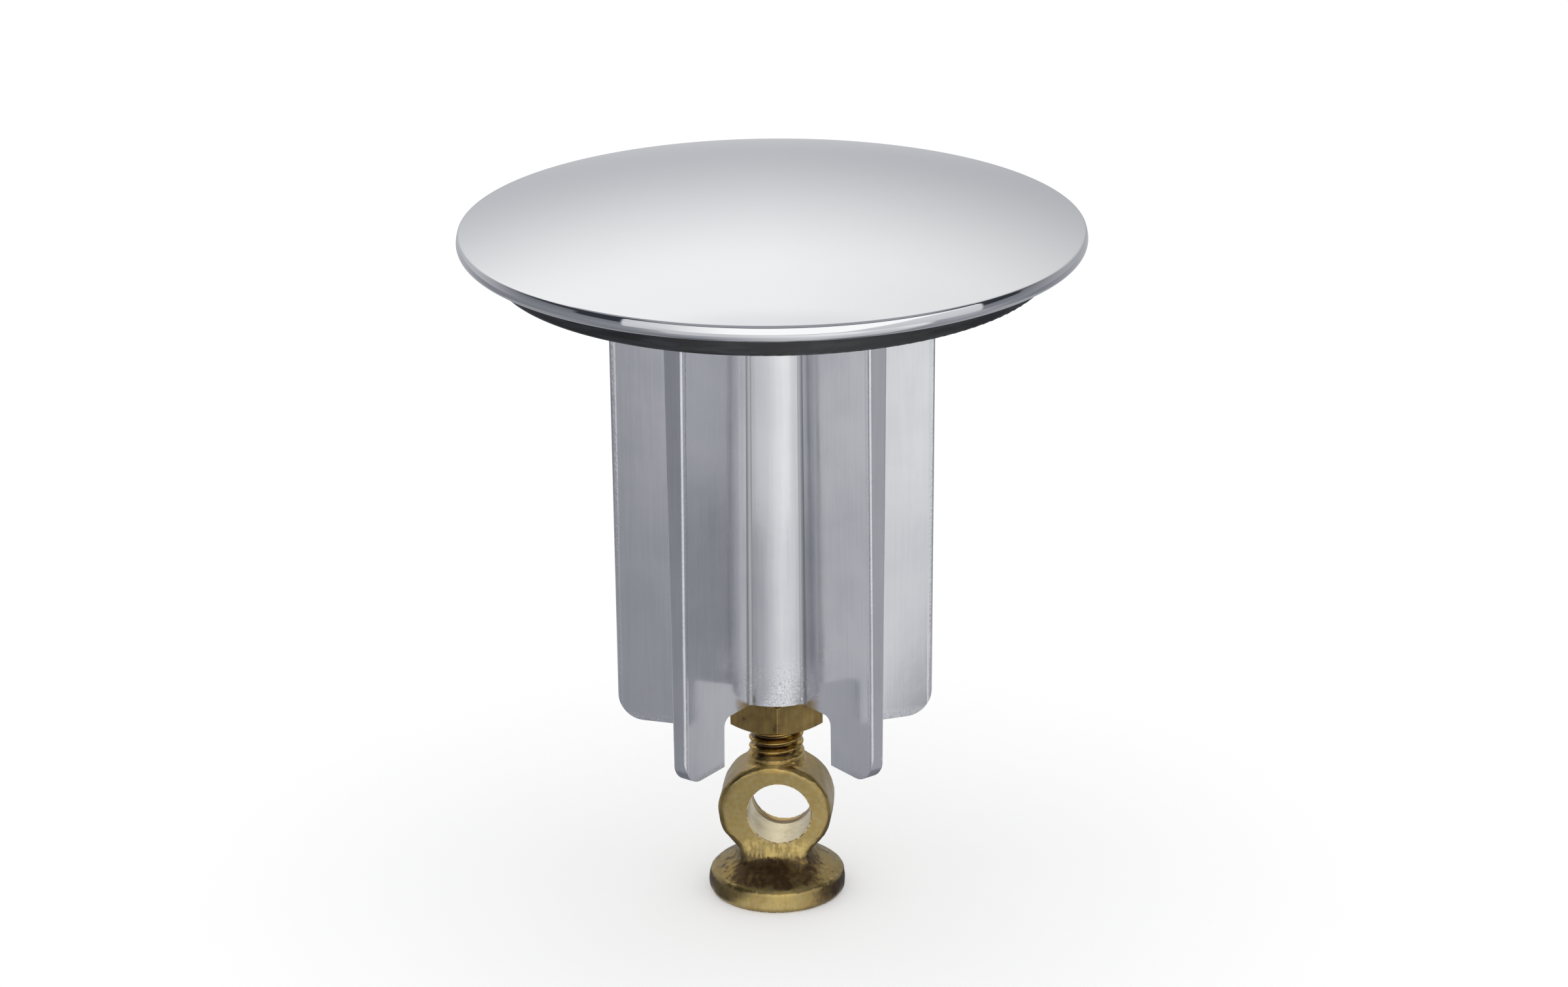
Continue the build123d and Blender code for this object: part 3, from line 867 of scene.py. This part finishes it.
class BASINPLUG_OT_screw(bpy.types.Operator):
    """Make the forged eye screw with its rolled thread"""

    bl_idname = "basin_plug.screw"
    bl_label = "Eye screw"

    def execute(self, context):
        sizes = context.scene.basin_plug.brass
        material = forged_brass(sizes)
        forging = self.forging(context, sizes, material)
        shank = self.thread(sizes, material)
        for piece in (forging, shank):
            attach(piece, "screw")
            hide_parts("eye_screw")
        return {"FINISHED"}

    def forging(self, context, sizes, material):
        """The foot, neck and eye, with soft creases and the unevenness of a forging."""
        shape = merged_copy("eye_screw")
        reach = sizes.thread_radius + 0.004 * MM
        level = sizes.eye_top - 0.95 * MM
        shank = [
            face
            for face in shape.faces
            if all(math.hypot(v.co.x, v.co.y) < reach and v.co.z > level for v in face.verts)
        ]
        bmesh.ops.delete(shape, geom=shank, context="FACES")
        rim = [edge for edge in shape.edges if len(edge.link_faces) == 1]
        if not rim:
            raise RuntimeError("the shank was not found on the eye screw")
        bmesh.ops.holes_fill(shape, edges=rim, sides=0)
        collar = bmesh.new()
        foot = sizes.eye_top - 1.6 * MM
        head = sizes.eye_top + 0.2 * MM
        vert = bmesh.ops.create_vert(collar, co=(0, 0, foot))["vert"][0]
        vert = run_vert(collar, vert, sizes.collar_radius, foot)
        vert = run_vert(collar, vert, sizes.collar_radius, sizes.eye_top - 0.45 * MM)
        vert = run_vert(collar, vert, sizes.thread_radius, head)
        run_vert(collar, vert, 0, head)
        spin_round(collar, 64)
        part = bpy.data.meshes.new("collar")
        collar.to_mesh(part)
        collar.free()
        shape.from_mesh(part)
        rough = finish_piece(shape, "rough_forging", material)
        even = rough.modifiers.new("Even mesh", "REMESH")
        even.mode = "VOXEL"
        even.voxel_size = sizes.grain
        context.view_layer.update()
        mesh = bpy.data.meshes.new_from_object(rough.evaluated_get(context.evaluated_depsgraph_get()))
        bpy.data.objects.remove(rough)

        shape = bmesh.new()
        shape.from_mesh(mesh)
        self.soften(shape, sizes)
        self.roughen(shape, sizes)
        return finish_piece(shape, "eye_forging", material, 60)

    def from_bore(self, vert, sizes):
        """The distance of a vertex from the middle line of the eye's bore."""
        return math.hypot(vert.co.x - sizes.bore_offset, vert.co.z - sizes.eye_middle)

    def soften(self, shape, sizes):
        """Rounds the neck's creases, the foot's upper edge and the joint of the collar and the eye."""
        beside_bore = sizes.bore_radius + 0.5 * MM
        neck = [
            vert
            for vert in shape.verts
            if sizes.foot_wall + 0.3 * MM < vert.co.z < 7.2 * MM
            and math.hypot(vert.co.x, vert.co.y) < 6.9 * MM
            and self.from_bore(vert, sizes) > beside_bore
        ]
        relax(shape, neck, 50)
        rim = [
            vert
            for vert in shape.verts
            if -1.0 * MM < vert.co.z - sizes.foot_wall < 1.3 * MM
            and math.hypot(vert.co.x, vert.co.y) > 5.6 * MM
        ]
        relax(shape, rim, 120)
        top = [vert for vert in shape.verts if vert.co.z > sizes.eye_top - 1.5 * MM]
        relax(shape, top, 5)

    def roughen(self, shape, sizes):
        """Makes the surface as uneven as a forging's, but not the bore and the flat base."""
        flat = 0.06 * MM
        half = sizes.half_thickness
        shape.normal_update()
        for vert in shape.verts:
            spot = vert.co / MM
            if self.from_bore(vert, sizes) < sizes.bore_radius + flat or vert.co.z < flat:
                continue
            uneven = noise.noise(spot * 0.55) * 0.09 + noise.noise(spot * 1.7) * 0.03
            if half - flat < abs(vert.co.y):
                uneven *= 0.25
            vert.co += vert.normal * (min(uneven, 0.05) - 0.03) * MM
        for vert in shape.verts:
            vert.co.z = 0 if vert.co.z < flat else vert.co.z

    def thread(self, sizes, material):
        """The shank with its rolled thread, which runs out above the eye."""
        thread = bmesh.new()
        pitch = sizes.thread_pitch
        low = sizes.eye_top - pitch
        root = sizes.thread_radius - sizes.thread_depth
        crest = sizes.thread_radius
        turns = math.ceil((SCREW_TOP - low) / pitch) + 1
        around = 72
        vert = bmesh.ops.create_vert(thread, co=(root, 0, low))["vert"][0]
        for part, height in THREAD_SECTION:
            vert = run_vert(thread, vert, root + height * sizes.thread_depth, low + part * pitch)
        bmesh.ops.spin(
            thread,
            geom=list(thread.verts) + list(thread.edges),
            cent=(0, 0, 0),
            dvec=AXIS * (pitch / around),
            axis=AXIS,
            angle=ROUND,
            steps=around,
        )
        one = list(thread.verts) + list(thread.edges) + list(thread.faces)
        for turn in range(1, turns):
            copied = bmesh.ops.duplicate(thread, geom=one)["geom"]
            raised = [item for item in copied if isinstance(item, bmesh.types.BMVert)]
            bmesh.ops.translate(thread, verts=raised, vec=AXIS * (pitch * turn))
        bmesh.ops.remove_doubles(thread, verts=list(thread.verts), dist=0.004 * MM)
        for height, direction in ((low + pitch, -1), (SCREW_TOP, 1)):
            cut = bmesh.ops.bisect_plane(
                thread,
                geom=list(thread.verts) + list(thread.edges) + list(thread.faces),
                dist=0.0001 * MM,
                plane_co=(0, 0, height),
                plane_no=AXIS * direction,
                clear_outer=True,
            )
            ring = [item for item in cut["geom_cut"] if isinstance(item, bmesh.types.BMEdge)]
            bmesh.ops.edgeloop_fill(thread, edges=ring)
        runout = sizes.eye_top + sizes.runout
        for vert in thread.verts:
            away = math.hypot(vert.co.x, vert.co.y)
            blend = min(max((runout - vert.co.z) / pitch, 0), 1)
            cone = crest - 0.1 * MM + sizes.flare * min(max((runout - vert.co.z) / sizes.runout, 0), 1)
            tip = min(max((vert.co.z - SCREW_TOP + 0.5 * pitch) / (0.5 * pitch), 0), 1)
            goal = away + (cone - away) * blend * 0.72
            goal = min(goal, crest + sizes.flare - tip * (sizes.flare + sizes.thread_depth * 0.8))
            vert.co.x *= goal / away
            vert.co.y *= goal / away
        bmesh.ops.recalc_face_normals(thread, faces=list(thread.faces))
        return finish_piece(thread, "rolled_thread", material, 50)


class BASINPLUG_OT_studio(bpy.types.Operator):
    """Make the floor, the tent, the light and the camera"""

    bl_idname = "basin_plug.studio"
    bl_label = "Studio"

    def execute(self, context):
        settings = context.scene.basin_plug.studio
        ground = bmesh.new()
        bmesh.ops.create_circle(ground, cap_ends=True, radius=6, segments=64)
        floor = finish_piece(ground, "floor", pale_floor(settings))

        walls = bmesh.new()
        low = 0.2 * MM
        vert = bmesh.ops.create_vert(walls, co=(7.6 * MM, 0, low))["vert"][0]
        vert = run_vert(walls, vert, settings.tent_radius, low)
        vert = run_vert(walls, vert, settings.tent_radius, settings.tent_height)
        run_vert(walls, vert, 0, settings.tent_height)
        spin_round(walls, 96)
        tent = finish_piece(walls, "tent", grey_tent(settings))
        tent.visible_camera = False
        tent.visible_diffuse = False
        tent.visible_transmission = False
        tent.visible_volume_scatter = False
        tent.visible_shadow = False

        world = bpy.data.worlds.new("daylight")
        context.scene.world = world
        sky = Finish(world)
        strength = sky.blend(settings.daylight, 1.0, sky.looked_at())
        shine = sky.node("ShaderNodeBackground", {}, {"Color": (1, 1, 1, 1), "Strength": strength})
        sky.node("ShaderNodeOutputWorld", {}, {"Surface": shine})

        lens = bpy.data.cameras.new("camera")
        lens.sensor_width = 36
        lens.lens = settings.lens
        lens.clip_start = 0.01
        camera = bpy.data.objects.new("camera", lens)
        context.scene.collection.objects.link(camera)
        turn = Matrix.Rotation(settings.azimuth, 3, "Z")
        away = Vector((0, -math.cos(settings.elevation), math.sin(settings.elevation)))
        place = turn @ (away * settings.distance + Vector((settings.aside, 0, 0))) + AXIS * settings.target
        tilt = Matrix.Rotation(math.pi / 2 - settings.pitch, 3, "X")
        facing = turn @ tilt @ Matrix.Rotation(settings.roll, 3, "Z")
        camera.matrix_world = Matrix.Translation(place) @ facing.to_4x4()
        context.scene.camera = camera
        context.scene.view_settings.view_transform = "Standard"
        return {"FINISHED"}


class BASINPLUG_PT_panel(bpy.types.Panel):
    """Pieces and settings of the basin plug"""

    bl_label = "Basin Plug"
    bl_idname = "BASINPLUG_PT_panel"
    bl_space_type = "VIEW_3D"
    bl_region_type = "UI"
    bl_category = "Basin Plug"

    def draw(self, context):
        settings = context.scene.basin_plug
        for part, group in (("cap", settings.cap), ("body", settings.body), ("nut", settings.brass)):
            box = self.layout.box()
            box.operator("basin_plug." + part)
            for name in group.__annotations__:
                box.prop(group, name)
        self.layout.operator("basin_plug.screw")
        box = self.layout.box()
        box.operator("basin_plug.studio")
        for name in settings.studio.__annotations__:
            box.prop(settings.studio, name)


CLASSES = (
    CapSettings,
    BodySettings,
    BrassSettings,
    StudioSettings,
    PlugSettings,
    BASINPLUG_OT_cap,
    BASINPLUG_OT_body,
    BASINPLUG_OT_nut,
    BASINPLUG_OT_screw,
    BASINPLUG_OT_studio,
    BASINPLUG_PT_panel,
)


def register():
    for item in CLASSES:
        bpy.utils.register_class(item)
    bpy.types.Scene.basin_plug = PointerProperty(type=PlugSettings)


def unregister():
    del bpy.types.Scene.basin_plug
    for item in reversed(CLASSES):
        bpy.utils.unregister_class(item)


def main():
    """Makes the whole scene."""
    register()
    bpy.ops.basin_plug.studio()
    bpy.ops.basin_plug.cap()
    bpy.ops.basin_plug.body()
    bpy.ops.basin_plug.nut()
    bpy.ops.basin_plug.screw()


if __name__ == "__main__":
    main()
